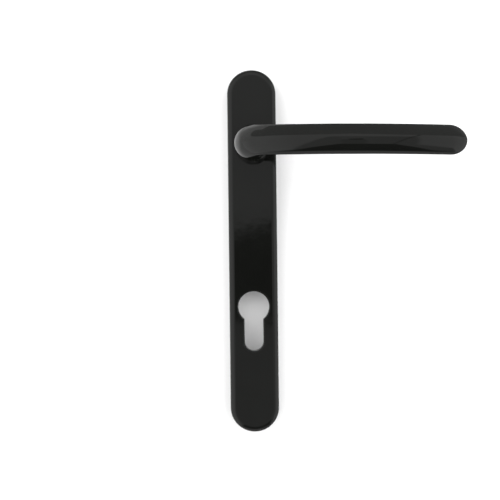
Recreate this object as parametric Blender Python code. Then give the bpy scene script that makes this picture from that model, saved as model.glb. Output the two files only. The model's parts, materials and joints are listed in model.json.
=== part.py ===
"""Exterior half of a sprung lever handle on a long backplate with a euro cylinder cut-out.

Metres, +Z up.  The backplate stands upright with its rear edge on the door plane y = 0 and its
front towards -Y; the lever points along +X.  The origin is the middle of the backplate on the
door plane.  Depths below are distances in front of the door plane, so a point at depth d has
y = -d.  Everything on the spindle is built about the spindle's axis, which runs along Y.
"""
import math

import bmesh
import bpy
from mathutils import Vector

MM = 0.001

# Backplate
PLATE_LENGTH = 204.3 * MM
PLATE_WIDTH = 27.5 * MM
PLATE_DEPTH = 11.0 * MM
WALL = 2.3 * MM
FRONT_WALL = 2.6 * MM
EDGE_WIDTH = 3.3 * MM
EDGE_DROP = 2.1 * MM
CAVITY_DEPTH = PLATE_DEPTH - FRONT_WALL
RIB = 1.6 * MM
RIB_DEPTH = 0.6 * MM

# Lock geometry: spindle above the plate's middle, cylinder 92 mm below the spindle
SPINDLE_Z = 60.4 * MM
CYLINDER_Z = SPINDLE_Z - 92.0 * MM
APERTURE_HEAD_R = 8.75 * MM
APERTURE_SLOT_HALF = 5.3 * MM
APERTURE_DROP = 24.95 * MM
APERTURE_ROUNDING = 0.7 * MM
COLLAR_WALL = 1.6 * MM

# Fixing posts, one near each end of the plate
FIXING_Z = 87.0 * MM
POST_R = 4.0 * MM
POST_LENGTH = 8.2 * MM
POST_THREAD_R = 2.1 * MM
BOSS_R = 5.7 * MM
PAD_R = 4.5 * MM

# Lever: a swept bar that leaves the plate, turns through a bend and bows back to the door
NECK_RISE = 16.0 * MM
BEND_R = 15.0 * MM
BEND_EXIT = math.radians(18.0)
BOW_APEX_X = 60.0 * MM
BOW_OUT_R = (BOW_APEX_X - BEND_R * (1 - math.sin(BEND_EXIT))) / math.sin(BEND_EXIT)
BOW_BACK_R = 178.0 * MM
LEVER_REACH = 116.8 * MM
NECK_HALF_X = 9.85 * MM
NECK_HALF_Z = 10.5 * MM
KNUCKLE_DROP = 0.45 * MM
NECK_FLARE = 0.15 * MM
FLARE_HEIGHT = 2.6 * MM
NECK_STATIONS = (0.05, 0.14, 0.3, 0.6)
# The neck's section is a little narrower towards its rounded outer side
KNUCKLE_TAPER = 0.085
# Headings in the bend between which the neck's section turns into the grip's
NECK_HEADING = math.radians(85.0)
GRIP_HEADING = math.radians(30.0)
GRIP_HALF_Z = 8.3 * MM
GRIP_FALL = math.radians(0.7)
FALL_START = 10.0 * MM
GRIP_LIFT = 0.08 * MM
TIP_ROUND = 9.6 * MM
GRIP_HALF_T = 6.2 * MM
TIP_HALF_T = 4.6 * MM
TIP_THINNING = 0.35
TIP_LAST_RING = math.radians(87.0)
# Angle of the grip's front face at heights across it, in half heights: a soft ridge above its middle
FACE_TURN = ((-0.97, -44.0), (-0.818, -25.8), (-0.345, -10.0), (-0.054, -2.3), (0.128, 4.6),
             (0.28, 25.3), (0.97, 44.0))
FACE_STEPS = 4
CORNER_STEPS = 4
BACK_POWER = 2.6
BACK_STEPS = 24
NECK_BASE = PLATE_DEPTH + 0.75 * MM

# Lever journal
JOURNAL_R = 7.0 * MM
JOURNAL_END = 0.2 * MM
JOURNAL_CHAMFER = 0.2 * MM
GROOVE_R = 6.45 * MM
GROOVE = (1.2 * MM, 0.4 * MM)
FLAT_HALF = 6.0 * MM
FLAT_START = 4.75 * MM
SOCKET_HALF = 4.05 * MM
SOCKET_DEPTH = 22.0 * MM

# Stack behind the plate's front wall, as (front depth, rear depth)
BUSH_FLANGE = (11.6 * MM, 11.1 * MM)
BUSH_REAR = 4.85 * MM
BUSH_R = 7.85 * MM
BUSH_BORE_R = 7.09 * MM
BUSH_FLANGE_R = 8.6 * MM
NECK_HOLE_R = 8.0 * MM
CAM = (4.65 * MM, 3.65 * MM)
REAR_FLANGE = (3.55 * MM, 3.2 * MM)
COVER = (3.1 * MM, 2.3 * MM)
THRUST = (2.2 * MM, 1.8 * MM)
WAVE = (1.72 * MM, 1.22 * MM)
CIRCLIP = (1.15 * MM, 0.45 * MM)

# Return spring
WIRE_R = 0.55 * MM
COIL_R = 8.8 * MM
COIL_TURNS = 2.0
COIL_DEPTHS = (7.7 * MM, 5.3 * MM)
TANG_BEND = 1.3
TANG_FRONT = 9.5 * MM
TANG_REAR = 3.8 * MM
TANG_HOLE_R = 0.95 * MM
TANG_HOLE_BOTTOM = 9.9 * MM
TANG_ANGLE = math.radians(-90.0)

# Cam and its stops.  Angles are from straight up, positive towards the lever
CAM_R = 9.4 * MM
TAB_R = 10.8 * MM
TAB_HALF_ANGLE = math.radians(12.0)
PRESS_LIMIT = math.radians(45.0)
LIFT_LIMIT = math.radians(60.0)
STOP_CLEARANCE = math.radians(1.2)
STOP_WIDTH = math.radians(18.0)
STOP_INNER_R = 9.75 * MM
STOP_DEPTH = 3.4 * MM

# Cassette cover and its screws
COVER_HALF_X = 11.1 * MM
COVER_HALF_Z = 19.3 * MM
COVER_CORNER = 4.0 * MM
COVER_BORE_R = 8.55 * MM
SCREW_X = 7.5 * MM
SCREW_Z = 15.2 * MM
SCREW_BOSS_R = 2.6 * MM
SCREW_SHANK_R = 0.95 * MM
SCREW_HEAD_R = 2.0 * MM
PILOT_R = 1.1 * MM
CLEAR_R = 1.3 * MM

ROUND = 48
SMALL_ROUND = 20
SPINDLE_AXIS = Vector((0.0, 0.0, SPINDLE_Z))


def clear_scene():
    for obj in list(bpy.data.objects):
        bpy.data.objects.remove(obj, do_unlink=True)


def material(name, colour, roughness, metallic):
    mat = bpy.data.materials.new(name)
    mat.use_nodes = True
    shader = mat.node_tree.nodes["Principled BSDF"]
    shader.inputs["Base Color"].default_value = (*colour, 1.0)
    shader.inputs["Roughness"].default_value = roughness
    shader.inputs["Metallic"].default_value = metallic
    return mat


# ---------------------------------------------------------------- building blocks

def mesh_object(name, verts, faces, location=(0.0, 0.0, 0.0)):
    """Object from points and faces, with its faces turned outwards."""
    mesh = bpy.data.meshes.new(name)
    mesh.from_pydata([tuple(v) for v in verts], [], faces)
    work = bmesh.new()
    work.from_mesh(mesh)
    bmesh.ops.recalc_face_normals(work, faces=work.faces)
    work.to_mesh(mesh)
    work.free()
    obj = bpy.data.objects.new(name, mesh)
    obj.location = location
    bpy.context.scene.collection.objects.link(obj)
    return obj


def loft(name, rings, location=(0.0, 0.0, 0.0)):
    """Solid through a row of closed rings with equal point counts, flat at both ends."""
    count = len(rings[0])
    verts = [point for ring in rings for point in ring]
    faces = []
    for row in range(len(rings) - 1):
        a, b = row * count, (row + 1) * count
        for i in range(count):
            j = (i + 1) % count
            faces.append((a + i, a + j, b + j, b + i))
    faces.append(tuple(range(count)))
    faces.append(tuple(range(len(verts) - count, len(verts))))
    return mesh_object(name, verts, faces, location)


def loop_loft(name, sections, location=(0.0, 0.0, 0.0)):
    """Closed ring-shaped solid through a circle of sections with equal point counts."""
    count, rows = len(sections[0]), len(sections)
    verts = [point for section in sections for point in section]
    faces = []
    for row in range(rows):
        a, b = row * count, ((row + 1) % rows) * count
        for i in range(count):
            j = (i + 1) % count
            faces.append((a + i, a + j, b + j, b + i))
    return mesh_object(name, verts, faces, location)


def circle(radius, depth, segments=ROUND, centre=(0.0, 0.0)):
    """Ring of points about the Y direction at one depth."""
    return [Vector((centre[0] + radius * math.cos(2 * math.pi * i / segments), -depth,
                    centre[1] + radius * math.sin(2 * math.pi * i / segments)))
            for i in range(segments)]


def turned(name, stations, segments=ROUND, centre=(0.0, 0.0), location=(0.0, 0.0, 0.0)):
    """Solid of revolution about Y through (radius, depth) stations, closed at both ends."""
    return loft(name, [circle(r, d, segments, centre) for r, d in stations], location)


def turned_ring(name, profile, segments=ROUND, location=(0.0, 0.0, 0.0)):
    """Ring of revolution about Y with a closed (radius, depth) profile."""
    sections = []
    for i in range(segments):
        angle = 2 * math.pi * i / segments
        sections.append([Vector((r * math.cos(angle), -d, r * math.sin(angle)))
                         for r, d in profile])
    return loop_loft(name, sections, location)


def washer(name, inner, outer, depths, location=SPINDLE_AXIS):
    front, rear = depths
    profile = [(inner, front), (outer, front), (outer, rear), (inner, rear)]
    return turned_ring(name, profile, ROUND, location)


def block(name, x_range, depth_range, z_range, location=(0.0, 0.0, 0.0)):
    x0, x1 = x_range
    z0, z1 = z_range
    rings = [[Vector((x0, -d, z0)), Vector((x1, -d, z0)), Vector((x1, -d, z1)),
              Vector((x0, -d, z1))] for d in depth_range]
    return loft(name, rings, location)


def slab(name, outline, depths, location=(0.0, 0.0, 0.0)):
    """Flat plate with an (x, z) outline between two depths."""
    return loft(name, [[Vector((x, -d, z)) for x, z in outline] for d in depths], location)


def combine(target, tool, operation):
    """Applies an exact Boolean of the tool to the target and removes the tool."""
    work = target.modifiers.new("combine", 'BOOLEAN')
    work.operation = operation
    work.solver = 'EXACT'
    work.object = tool
    bpy.context.view_layer.update()
    graph = bpy.context.evaluated_depsgraph_get()
    result = bpy.data.meshes.new_from_object(target.evaluated_get(graph))
    target.modifiers.remove(work)
    before = target.data
    target.data = result
    bpy.data.meshes.remove(before)
    bpy.data.objects.remove(tool, do_unlink=True)


def join(target, tool):
    combine(target, tool, 'UNION')


def cut(target, tool):
    combine(target, tool, 'DIFFERENCE')


def finish(obj, mat, sharp_degrees=35.0):
    """Names the mesh, gives it its material and shades its round faces smooth."""
    obj.data.name = obj.name
    obj.data.materials.clear()
    obj.data.materials.append(mat)
    obj.data.shade_smooth()
    obj.data.set_sharp_from_angle(angle=math.radians(sharp_degrees))
    return obj


# ---------------------------------------------------------------- outlines

def stadium(inset, depth, end_points=20):
    """Outline of the backplate, moved inwards by the inset, at one depth."""
    radius = PLATE_WIDTH / 2 - inset
    straight = PLATE_LENGTH / 2 - PLATE_WIDTH / 2
    points = []
    for side in (1, -1):
        for i in range(end_points + 1):
            angle = math.pi * i / end_points + (0.0 if side == 1 else math.pi)
            points.append(Vector((radius * math.cos(angle), -depth,
                                  side * straight + radius * math.sin(angle))))
    return points


def euro_outline(offset, head_points=32, foot_points=14):
    """Euro cylinder outline as (x, z), grown outwards by the offset."""
    radius = APERTURE_HEAD_R + offset
    half = APERTURE_SLOT_HALF + offset
    foot_z = CYLINDER_Z - APERTURE_DROP + APERTURE_SLOT_HALF
    joint = math.asin(half / radius)
    start = -math.pi / 2 + joint
    sweep = 2 * math.pi - 2 * joint
    points = []
    for i in range(head_points + 1):
        angle = start + sweep * i / head_points
        points.append((radius * math.cos(angle), CYLINDER_Z + radius * math.sin(angle)))
    for i in range(foot_points + 1):
        angle = math.pi + math.pi * i / foot_points
        points.append((half * math.cos(angle), foot_z + half * math.sin(angle)))
    return points


def euro_ring(offset, depth):
    return [Vector((x, -depth, z)) for x, z in euro_outline(offset)]


def arc(radius, start, end, steps):
    """Points of an arc about the spindle, with angles from straight up towards +X."""
    points = []
    for i in range(steps + 1):
        angle = start + (end - start) * i / steps
        points.append((radius * math.sin(angle), radius * math.cos(angle)))
    return points


def rounded_rectangle(half_x, half_z, corner, steps=5):
    points = []
    for sx, sz, start in ((1, 1, 0.0), (-1, 1, 90.0), (-1, -1, 180.0), (1, -1, 270.0)):
        for i in range(steps + 1):
            angle = math.radians(start + 90.0 * i / steps)
            points.append((sx * (half_x - corner) + corner * math.cos(angle),
                           sz * (half_z - corner) + corner * math.sin(angle)))
    return points


# ---------------------------------------------------------------- backplate

def plate_edge():
    """(inset, depth) stations of the backplate's side wall and its soft elliptical edge."""
    draft, steps = 0.1 * MM, 8
    stations = [(0.0, 0.0)]
    for i in range(steps + 1):
        angle = math.radians(90.0 * i / steps)
        stations.append((draft + (EDGE_WIDTH - draft) * (1 - math.cos(angle)),
                         PLATE_DEPTH - EDGE_DROP * (1 - math.sin(angle))))
    return stations


def stop_lug(name, start, end):
    """Cast stop between two angles, reaching from near the spring into the side wall."""
    outer = 13.7 * MM if start > 0 else 12.4 * MM
    outline = arc(STOP_INNER_R, start, end, 4) + arc(outer, end, start, 4)
    return slab(name, outline, (CAVITY_DEPTH + MM, STOP_DEPTH), SPINDLE_AXIS)


def build_backplate(mat):
    plate = loft("backplate", [stadium(inset, depth) for inset, depth in plate_edge()])
    cut(plate, loft("cavity", [stadium(WALL, -MM), stadium(WALL, CAVITY_DEPTH)]))

    root = CAVITY_DEPTH + MM
    head_top = CYLINDER_Z + APERTURE_HEAD_R
    foot_bottom = CYLINDER_Z - APERTURE_DROP
    join(plate, loft("collar", [euro_ring(COLLAR_WALL, root), euro_ring(COLLAR_WALL, RIB_DEPTH)]))

    spine_top = SPINDLE_Z - COVER_HALF_Z - 3.0 * MM
    join(plate, block("upper_spine", (-RIB / 2, RIB / 2), (root, RIB_DEPTH), (head_top, spine_top)))
    join(plate, block("lower_spine", (-RIB / 2, RIB / 2), (root, RIB_DEPTH),
                      (-FIXING_Z, foot_bottom)))
    half_inside = PLATE_WIDTH / 2 - WALL / 2
    for web_z in (spine_top, 0.0, -70.0 * MM):
        join(plate, block("web", (-half_inside, half_inside), (root, RIB_DEPTH),
                          (web_z - RIB / 2, web_z + RIB / 2)))
    join(plate, turned("seating_pad", [(PAD_R, root), (PAD_R, 0.0)], SMALL_ROUND))

    for end in (1, -1):
        centre = (0.0, end * FIXING_Z)
        join(plate, turned("boss", [(BOSS_R, root), (BOSS_R, RIB_DEPTH)], 28, centre))
        cut(plate, turned("post_bore", [(POST_R + 0.1 * MM, POST_LENGTH + 0.15 * MM),
                                        (POST_R + 0.1 * MM, -MM)], 28, centre))
    for sx in (1, -1):
        for sz in (1, -1):
            centre = (sx * SCREW_X, SPINDLE_Z + sz * SCREW_Z)
            join(plate, turned("screw_boss", [(SCREW_BOSS_R, root), (SCREW_BOSS_R, COVER[0] + 0.1 * MM)],
                               SMALL_ROUND, centre))
            cut(plate, turned("pilot", [(PILOT_R, CAVITY_DEPTH - 0.5 * MM), (PILOT_R, -MM)],
                              SMALL_ROUND, centre))

    edge = TAB_HALF_ANGLE + STOP_CLEARANCE
    join(plate, stop_lug("press_stop", PRESS_LIMIT + edge, PRESS_LIMIT + edge + STOP_WIDTH))
    join(plate, stop_lug("lift_stop", -LIFT_LIMIT - edge, -LIFT_LIMIT - edge - STOP_WIDTH))

    cut(plate, turned("neck_hole", [(NECK_HOLE_R, PLATE_DEPTH + MM), (NECK_HOLE_R, 0.0)], ROUND,
                      (0.0, SPINDLE_Z)))
    tang = (COIL_R * math.cos(TANG_ANGLE), SPINDLE_Z + COIL_R * math.sin(TANG_ANGLE))
    cut(plate, turned("tang_hole", [(TANG_HOLE_R, TANG_HOLE_BOTTOM), (TANG_HOLE_R, 5.0 * MM)],
                      SMALL_ROUND, tang))
    rounding = [euro_ring(0.0, -MM), euro_ring(0.0, PLATE_DEPTH - APERTURE_ROUNDING)]
    for i in range(1, 4):
        angle = math.radians(90.0 * i / 3)
        rounding.append(euro_ring(APERTURE_ROUNDING * (1 - math.cos(angle)),
                                  PLATE_DEPTH - APERTURE_ROUNDING * (1 - math.sin(angle))))
    rounding.append(euro_ring(APERTURE_ROUNDING, PLATE_DEPTH + MM))
    cut(plate, loft("aperture", rounding))
    return finish(plate, mat)


# ---------------------------------------------------------------- lever

def lever_path():
    """Stations along the lever's centre line as (x, height above the plate, heading)."""
    path = [(0.0, NECK_RISE * t, math.pi / 2) for t in NECK_STATIONS]
    bend_steps = 11
    for i in range(bend_steps + 1):
        heading = math.pi / 2 + (BEND_EXIT - math.pi / 2) * i / bend_steps
        path.append((BEND_R * (1 - math.sin(heading)), NECK_RISE + BEND_R * math.cos(heading),
                     heading))
    exit_x, exit_h, _ = path[-1]
    out_steps = 6
    for i in range(1, out_steps + 1):
        heading = BEND_EXIT * (1 - i / out_steps)
        path.append((exit_x + BOW_OUT_R * (math.sin(BEND_EXIT) - math.sin(heading)),
                     exit_h + BOW_OUT_R * (math.cos(heading) - math.cos(BEND_EXIT)), heading))
    apex_x, apex_h, _ = path[-1]
    tip_heading = math.asin((LEVER_REACH - apex_x) / BOW_BACK_R)
    back_steps = 8
    grip_end = tip_heading - TIP_ROUND / BOW_BACK_R
    headings = [grip_end * i / back_steps for i in range(1, back_steps + 1)]
    tip_steps = 7
    for i in range(1, tip_steps + 1):
        reach = math.sin(TIP_LAST_RING * i / tip_steps)
        headings.append(grip_end + (tip_heading - grip_end) * reach)
    for heading in headings:
        path.append((apex_x + BOW_BACK_R * math.sin(heading),
                     apex_h - BOW_BACK_R * (1 - math.cos(heading)), -heading))
    return path, tip_heading, grip_end


def blend(low, high, value):
    """Smooth step of the value between two bounds."""
    t = min(max((value - low) / (high - low), 0.0), 1.0)
    return t * t * (3 - 2 * t)


def lever_face():
    """(z, drop) points of the front face across its height, in half heights of the section.

    The face turns through FACE_TURN and ends in a tight corner at each edge.
    """
    low_edge, low_angle = FACE_TURN[0]
    top_edge, top_angle = FACE_TURN[-1]
    points, drop = [(low_edge, 0.0)], 0.0
    for (z0, angle0), (z1, angle1) in zip(FACE_TURN, FACE_TURN[1:]):
        for i in range(FACE_STEPS):
            angle = math.radians(angle0 + (angle1 - angle0) * (i + 0.5) / FACE_STEPS)
            drop += math.tan(angle) * (z1 - z0) / FACE_STEPS
            points.append((z0 + (z1 - z0) * (i + 1) / FACE_STEPS, drop))
    corners = []
    for edge, angle, start in ((1 + low_edge, -low_angle, 0.0), (1 - top_edge, top_angle, drop)):
        radius = edge / (1 - math.sin(math.radians(angle)))
        turns = [math.radians(angle + (90.0 - angle) * i / CORNER_STEPS)
                 for i in range(1, CORNER_STEPS + 1)]
        corners.append([(1 - radius * (1 - math.sin(turn)),
                         start + radius * (math.cos(math.radians(angle)) - math.cos(turn)))
                        for turn in turns])
    low, top = corners
    points = [(-z, drop) for z, drop in reversed(low)] + points + top
    crown = min(drop for _, drop in points)
    return [(z, drop - crown) for z, drop in points]


def even_points(outline, count):
    """Points evenly spaced by length round a closed outline."""
    lengths = [0.0]
    for i, point in enumerate(outline):
        lengths.append(lengths[-1] + (outline[(i + 1) % len(outline)] - point).length)
    index, picked = 0, []
    for k in range(count):
        target = lengths[-1] * k / count
        while lengths[index + 1] < target:
            index += 1
        share = (target - lengths[index]) / (lengths[index + 1] - lengths[index])
        picked.append(outline[index].lerp(outline[(index + 1) % len(outline)], share))
    return picked


def lever_section(x, height, heading, tip_heading, grip_end, points=36):
    """Closed ring of the lever's section at one station of its centre line.

    The neck's section is an ellipse.  The grip's has a crowned face, crisp edges and a round back.
    """
    bar = blend(NECK_HEADING, GRIP_HEADING, heading)
    taper = blend(BOW_APEX_X, LEVER_REACH, x)
    half_t = GRIP_HALF_T + (TIP_HALF_T - GRIP_HALF_T) * taper
    half_z = GRIP_HALF_Z
    if -heading > grip_end:
        reach = (-heading - grip_end) / (tip_heading - grip_end)
        round_end = math.sqrt(max(1 - reach * reach, 0.0))
        half_z *= round_end
        half_t *= round_end ** TIP_THINNING
    grip = [(half_t - drop * half_z, z * half_z) for z, drop in lever_face()]
    low_t, top_t = grip[0][0], grip[-1][0]
    for i in range(1, BACK_STEPS):
        angle = math.pi * i / BACK_STEPS
        across = math.copysign(abs(math.cos(angle)) ** (2 / BACK_POWER), math.cos(angle))
        edge_t = low_t + (top_t - low_t) * (across + 1) / 2
        grip.append((edge_t - (edge_t + half_t) * math.sin(angle) ** (2 / BACK_POWER),
                     across * half_z))
    flare = NECK_FLARE * (1 - blend(0.0, FLARE_HEIGHT, height))
    fall = (GRIP_LIFT - (x - FALL_START) * math.tan(GRIP_FALL)) * bar - KNUCKLE_DROP * (1 - bar)
    front = Vector((-math.sin(heading), -math.cos(heading), 0.0))
    centre = Vector((x, -(PLATE_DEPTH + height), fall))
    outline = []
    for t, z in grip:
        angle = math.atan2(z, t)
        radius = 1 / math.hypot(math.cos(angle) / (NECK_HALF_X + flare),
                                math.sin(angle) / (NECK_HALF_Z + flare))
        neck_t, neck_z = radius * math.cos(angle), radius * math.sin(angle)
        neck_z *= 1 - KNUCKLE_TAPER * (1 - bar) * neck_t / NECK_HALF_X
        outline.append(centre + front * (neck_t + (t - neck_t) * bar)
                       + Vector((0.0, 0.0, neck_z + (z - neck_z) * bar)))
    return even_points(outline, points)


def build_lever(mat):
    path, tip_heading, grip_end = lever_path()
    rings = [lever_section(*station, tip_heading, grip_end) for station in path]
    lever = loft("lever", rings, SPINDLE_AXIS)
    journal = [(JOURNAL_R, NECK_BASE + 3 * MM), (JOURNAL_R, GROOVE[0]), (GROOVE_R, GROOVE[0]),
               (GROOVE_R, GROOVE[1]), (JOURNAL_R, GROOVE[1]), (JOURNAL_R - JOURNAL_CHAMFER, JOURNAL_END)]
    join(lever, turned("journal", journal, location=SPINDLE_AXIS))
    far = JOURNAL_R + MM
    for z_range in ((FLAT_HALF, far), (-far, -FLAT_HALF)):
        cut(lever, block("flat", (-far, far), (FLAT_START, -MM), z_range, SPINDLE_AXIS))
    cut(lever, block("socket", (-SOCKET_HALF, SOCKET_HALF), (SOCKET_DEPTH, -MM),
                     (-SOCKET_HALF, SOCKET_HALF), SPINDLE_AXIS))
    return finish(lever, mat)


# ---------------------------------------------------------------- spring cassette

def build_neck_bush(mat):
    profile = [(BUSH_BORE_R, BUSH_FLANGE[0]), (BUSH_FLANGE_R, BUSH_FLANGE[0]),
               (BUSH_FLANGE_R, BUSH_FLANGE[1]), (BUSH_R, BUSH_FLANGE[1]), (BUSH_R, BUSH_REAR),
               (BUSH_BORE_R, BUSH_REAR)]
    return finish(turned_ring("neck_bush", profile, ROUND, SPINDLE_AXIS), mat)


def spring_path():
    """Centre line of the spring: front tang, coils, rear tang."""
    front, rear = COIL_DEPTHS
    steps = 26 * int(COIL_TURNS)
    bend = TANG_BEND * WIRE_R
    lead = bend / COIL_R
    points = []
    at_tang = Vector((COIL_R * math.cos(TANG_ANGLE), 0.0, COIL_R * math.sin(TANG_ANGLE)))
    for depth in (TANG_FRONT, front + bend):
        points.append(at_tang + Vector((0.0, -depth, 0.0)))
    for i in range(steps + 1):
        t = i / steps
        angle = TANG_ANGLE + lead + (2 * math.pi * COIL_TURNS - 2 * lead) * t
        points.append(Vector((COIL_R * math.cos(angle), -(front + (rear - front) * t),
                              COIL_R * math.sin(angle))))
    for depth in (rear - bend, TANG_REAR):
        points.append(at_tang + Vector((0.0, -depth, 0.0)))
    return points


def build_spring(mat, sides=8):
    points = spring_path()
    rings = []
    side_way = None
    for i, point in enumerate(points):
        before = points[max(i - 1, 0)]
        after = points[min(i + 1, len(points) - 1)]
        along = (after - before).normalized()
        outward = Vector((point.x, 0.0, point.z)).normalized()
        outward = (outward - along * outward.dot(along)).normalized()
        side_way = along.cross(outward)
        rings.append([point + (outward * math.cos(2 * math.pi * k / sides)
                               + side_way * math.sin(2 * math.pi * k / sides)) * WIRE_R
                      for k in range(sides)])
    return finish(loft("return_spring", rings, SPINDLE_AXIS), mat, 60.0)


def double_d(radius, half, steps=10):
    """Round outline with two flats across Z, as (x, z)."""
    flat_angle = math.asin(half / radius)
    points = []
    for start in (-flat_angle, math.pi - flat_angle):
        for i in range(steps + 1):
            angle = start + 2 * flat_angle * i / steps
            points.append((radius * math.cos(angle), radius * math.sin(angle)))
    return points


def build_cam(mat):
    cam = turned("drive_cam", [(CAM_R, CAM[0]), (CAM_R, CAM[1])], location=SPINDLE_AXIS)
    tab = arc(JOURNAL_R + MM, -TAB_HALF_ANGLE, TAB_HALF_ANGLE, 4)
    tab += arc(TAB_R, TAB_HALF_ANGLE, -TAB_HALF_ANGLE, 4)
    join(cam, slab("tab", tab, CAM, SPINDLE_AXIS))
    bore = double_d(JOURNAL_R + 0.1 * MM, FLAT_HALF + 0.1 * MM)
    cut(cam, slab("bore", bore, (CAM[0] + MM, CAM[1] - MM), SPINDLE_AXIS))
    notch_half = WIRE_R + 0.12 * MM
    notch_top = -COIL_R + notch_half + 0.05 * MM
    cut(cam, block("notch", (-notch_half, notch_half), (CAM[0] + MM, CAM[1] - MM),
                   (-CAM_R - MM, notch_top), SPINDLE_AXIS))
    return finish(cam, mat)


def build_rear_bush(mat):
    profile = [(BUSH_BORE_R, REAR_FLANGE[0]), (CAM_R, REAR_FLANGE[0]), (CAM_R, REAR_FLANGE[1]),
               (COVER_BORE_R - 0.12 * MM, REAR_FLANGE[1]),
               (COVER_BORE_R - 0.12 * MM, COVER[1]), (BUSH_BORE_R, COVER[1])]
    return finish(turned_ring("rear_bush", profile, ROUND, SPINDLE_AXIS), mat)


def build_cover(mat):
    outline = rounded_rectangle(COVER_HALF_X, COVER_HALF_Z, COVER_CORNER)
    cover = slab("cassette_cover", outline, COVER, SPINDLE_AXIS)
    cut(cover, turned("cover_bore", [(COVER_BORE_R, COVER[0] + MM), (COVER_BORE_R, COVER[1] - MM)],
                      location=SPINDLE_AXIS))
    for sx in (1, -1):
        for sz in (1, -1):
            cut(cover, turned("clearance", [(CLEAR_R, COVER[0] + MM), (CLEAR_R, COVER[1] - MM)],
                              SMALL_ROUND, (sx * SCREW_X, sz * SCREW_Z), SPINDLE_AXIS))
    return finish(cover, mat)


def build_cover_screws(mat):
    """Four equal pan-head screws that share one mesh."""
    seat = COVER[1] - 0.1 * MM
    top = seat - 1.1 * MM
    stations = [(0.3 * MM, 7.2 * MM), (SCREW_SHANK_R, 6.3 * MM), (SCREW_SHANK_R, seat),
                (SCREW_HEAD_R, seat), (SCREW_HEAD_R, seat - 0.45 * MM),
                (0.8 * SCREW_HEAD_R, top + 0.12 * MM), (0.45 * SCREW_HEAD_R, top)]
    first = turned("cover_screw_1", stations, SMALL_ROUND)
    arm, half = 1.1 * MM, 0.22 * MM
    cut(first, block("recess", (-arm, arm), (top + 0.6 * MM, 0.0), (-half, half)))
    cut(first, block("recess", (-half, half), (top + 0.6 * MM, 0.0), (-arm, arm)))
    finish(first, mat)
    screws = [first]
    for number in (2, 3, 4):
        screw = bpy.data.objects.new("cover_screw_%d" % number, first.data)
        bpy.context.scene.collection.objects.link(screw)
        screws.append(screw)
    corners = ((-1, 1), (1, 1), (-1, -1), (1, -1))
    for screw, (sx, sz) in zip(screws, corners):
        screw.location = SPINDLE_AXIS + Vector((sx * SCREW_X, 0.0, sz * SCREW_Z))
    return screws


def build_wave_washer(mat):
    """Thin spring washer with three waves round its circle."""
    inner, outer, thick = 7.25 * MM, 9.0 * MM, 0.2 * MM
    swing = (WAVE[0] - WAVE[1] - thick) / 2
    middle = (WAVE[0] + WAVE[1]) / 2
    sections = []
    for i in range(ROUND):
        angle = 2 * math.pi * i / ROUND
        depth = middle + swing * math.cos(3 * angle)
        sections.append([Vector((r * math.cos(angle), -d, r * math.sin(angle)))
                         for r, d in ((inner, depth + thick / 2), (outer, depth + thick / 2),
                                      (outer, depth - thick / 2), (inner, depth - thick / 2))])
    return finish(loop_loft("wave_washer", sections, SPINDLE_AXIS), mat)


def build_circlip(mat):
    """External circlip, open at the bottom, with a pierced lug at each end."""
    inner, outer = GROOVE_R + 0.08 * MM, 8.1 * MM
    gap, steps = math.radians(22.0), 36
    half_turn = math.pi - gap
    outline = []
    for i in range(steps + 1):
        angle = -half_turn + 2 * half_turn * i / steps
        radius = outer + 0.35 * MM * math.cos(angle)
        outline.append((radius * math.sin(angle), radius * math.cos(angle)))
    outline += arc(inner, half_turn, -half_turn, steps)
    clip = slab("retaining_circlip", outline, CIRCLIP, SPINDLE_AXIS)
    lug_r, lug_at = 1.15 * MM, 8.2 * MM
    for side in (1, -1):
        angle = side * (half_turn - 0.02)
        centre = (lug_at * math.sin(angle), lug_at * math.cos(angle))
        join(clip, turned("lug", [(lug_r, CIRCLIP[0]), (lug_r, CIRCLIP[1])], SMALL_ROUND,
                          centre, SPINDLE_AXIS))
        cut(clip, turned("eye", [(0.5 * MM, CIRCLIP[0] + MM), (0.5 * MM, -MM)], 12,
                         centre, SPINDLE_AXIS))
    return finish(clip, mat)


# ---------------------------------------------------------------- fixings

def build_fixing_posts(mat):
    """Two threaded posts pressed into the plate's end bosses, open towards the door."""
    chamfer = 0.3 * MM
    stations = [(POST_R - chamfer, POST_LENGTH), (POST_R, POST_LENGTH - chamfer),
                (POST_R, chamfer), (POST_R - chamfer, 0.0), (POST_THREAD_R + chamfer, 0.0),
                (POST_THREAD_R, chamfer), (POST_THREAD_R, 6.8 * MM)]
    upper = finish(turned("fixing_post_upper", stations, 28), mat)
    lower = bpy.data.objects.new("fixing_post_lower", upper.data)
    bpy.context.scene.collection.objects.link(lower)
    upper.location = (0.0, 0.0, FIXING_Z)
    lower.location = (0.0, 0.0, -FIXING_Z)
    return upper, lower


def build():
    clear_scene()
    black = material("black_gloss_coat", (0.012, 0.012, 0.011), 0.12, 0.0)
    nylon = material("black_nylon", (0.02, 0.02, 0.02), 0.45, 0.0)
    natural = material("natural_nylon", (0.75, 0.73, 0.66), 0.4, 0.0)
    plated = material("zinc_plated_steel", (0.62, 0.63, 0.64), 0.32, 1.0)
    spring_steel = material("spring_steel", (0.35, 0.34, 0.33), 0.35, 1.0)
    dark_steel = material("phosphated_steel", (0.09, 0.09, 0.09), 0.45, 0.9)

    build_backplate(black)
    build_lever(black)
    build_neck_bush(nylon)
    build_spring(spring_steel)
    build_cam(plated)
    build_rear_bush(natural)
    build_cover(plated)
    build_cover_screws(plated)
    finish(washer("thrust_washer", 7.15 * MM, 9.6 * MM, THRUST), plated)
    build_wave_washer(spring_steel)
    build_circlip(dark_steel)
    build_fixing_posts(plated)


build()
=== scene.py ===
"""Looks of a gloss black lever handle half: fine casting, lever and spring, materials and studio.

Metres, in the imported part's frame: the backplate's rear edge lies on y = 0, the front faces -Y and
the lever points along +X.  A depth d is a distance in front of the door plane, so y = -d.
"""
import json
import math

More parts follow.
